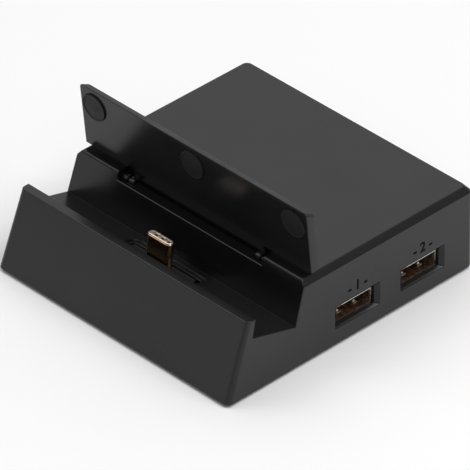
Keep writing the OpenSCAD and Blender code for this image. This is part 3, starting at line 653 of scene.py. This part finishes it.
def studio_light():
    """White surround that is brightest high behind on the left, and two soft boxes."""
    world = bpy.data.worlds.new("studio")
    world.use_nodes = True
    tree = world.node_tree
    background = tree.nodes["Background"]
    background.inputs["Color"].default_value = srgb("#ffffff")
    way = add_node(tree, "ShaderNodeTexCoord")
    towards = add_node(tree, "ShaderNodeVectorMath", {"operation": "DOT_PRODUCT"},
                       {1: GLOW_FROM.normalized()}, {0: way.outputs["Generated"]})
    above = add_node(tree, "ShaderNodeMath", {"operation": "MAXIMUM"}, {1: 0.0},
                     {0: towards.outputs["Value"]})
    narrowed = add_node(tree, "ShaderNodeMath", {"operation": "POWER"}, {1: GLOW_TIGHTNESS},
                        {0: above.outputs[0]})
    split = add_node(tree, "ShaderNodeSeparateXYZ", None, None, {0: way.outputs["Generated"]})
    sky = add_node(tree, "ShaderNodeMath", {"operation": "MULTIPLY_ADD"},
                   {1: SKY_RISE, 2: SKY_LOW}, {0: split.outputs["Z"]})
    glow = add_node(tree, "ShaderNodeMath", {"operation": "MULTIPLY_ADD"},
                    {1: GLOW_GAIN}, {0: narrowed.outputs[0], 2: sky.outputs[0]})
    tree.links.new(glow.outputs[0], background.inputs["Strength"])
    bpy.context.scene.world = world
    lamp("overhead", *OVERHEAD)
    lamp("front_left", *FRONT_LEFT)


def camera():
    """Long lens at the picture's angle."""
    a = math.radians(CAMERA_AZIMUTH)
    e = math.radians(CAMERA_ELEVATION)
    r = math.radians(CAMERA_ROLL)
    back = Vector((math.sin(a) * math.cos(e), -math.cos(a) * math.cos(e), math.sin(e)))
    level = Vector((math.cos(a), math.sin(a), 0))
    upright = back.cross(level)
    right = math.cos(r) * level + math.sin(r) * upright
    up = -math.sin(r) * level + math.cos(r) * upright
    place = CAMERA_TARGET + back * CAMERA_DISTANCE
    data = bpy.data.cameras.new("camera")
    data.sensor_width = SENSOR_WIDTH
    data.lens = FOCAL_PIXELS / FRAME_PIXELS * SENSOR_WIDTH
    data.clip_start = 0.01
    data.clip_end = 50
    shot = bpy.data.objects.new("camera", data)
    shot.matrix_world = Matrix((
        (right.x, up.x, back.x, place.x), (right.y, up.y, back.y, place.y),
        (right.z, up.z, back.z, place.z), (0, 0, 0, 1)))
    bpy.context.scene.collection.objects.link(shot)
    bpy.context.scene.camera = shot


# Every solid and the finish it gets. The housing, the back-rest, the pads and the plug's
# shell are then replaced by pieces with softer edges.
FINISH = {
    "upper_housing": moulded_abs, "support_flap": smooth_abs, "base_plate": inner_abs,
    "plug_carrier": inner_abs, "rubber_feet": pad_rubber, "base_screws": zinc_steel,
    "board_screws": zinc_steel, "hinge_pin": zinc_steel, "return_springs": zinc_steel,
    "plug_shell": gold_plate, "plug_core": black_polymer, "plug_contacts": contact_gold,
    "plug_board": solder_mask, "main_board": solder_mask, "port_shell_front": nickel_plate,
    "port_shell_rear": nickel_plate, "port_tongue_front": brown_nylon,
    "port_tongue_rear": brown_nylon, "port_contacts_front": contact_gold,
    "port_contacts_rear": contact_gold, "video_shell": nickel_plate,
    "video_tongue": black_polymer, "power_shell": nickel_plate, "power_tongue": black_polymer,
    "ribbon_cable": pale_film, "ribbon_connector": pale_film, "video_chip": chip_epoxy,
    "hub_chip": chip_epoxy, "crystal_can": nickel_plate, "inductors": chip_epoxy,
    "capacitors": ceramic_tan, "flap_pad_left": pad_rubber, "flap_pad_middle": pad_rubber,
    "flap_pad_right": pad_rubber,
}


def main():
    """Sets the stage, gives every solid its finish and adds the close-up parts."""
    bpy.context.scene.view_settings.view_transform = "Standard"
    camera()
    studio_light()
    studio_floor()
    made = {maker: maker() for maker in dict.fromkeys(FINISH.values())}
    ink = matt_ink()
    for node, maker in FINISH.items():
        give(frame["nodes"][node], made[maker])
    softened("upper_housing", "housing", "dock", made[moulded_abs], HOUSING_RADIUS)
    panel = softened("support_flap", "back_rest", "backrest", made[smooth_abs],
                     FLAP_RADIUS, redraw=plain_top)
    dull_end(panel, made[inner_abs])
    softened("plug_shell", "plug_sleeve", "plug", made[gold_plate],
             SLEEVE_RADIUS, SLEEVE_ANGLE)
    for side in ("left", "middle", "right"):
        round_pad(side, made[pad_rubber])
    for number, shell in (("1", "port_shell_front"), ("2", "port_shell_rear")):
        low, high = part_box(shell)
        port_number(number, (low.y + high.y) / 2, ink)
        socket_fingers(f"socket_fingers_{number}", shell, made[nickel_plate])
        socket_beads(f"socket_beads_{number}", shell, made[nickel_plate])
        socket_lip(f"socket_lip_{number}", shell, made[nickel_plate])
        port_bezel(f"port_bezel_{number}", shell, made[moulded_abs])
    # The rim and its contact noses get the gold with a painted highlight, far paler than the plate
    plug_mouth(rim_gold_painted_highlight())


main()
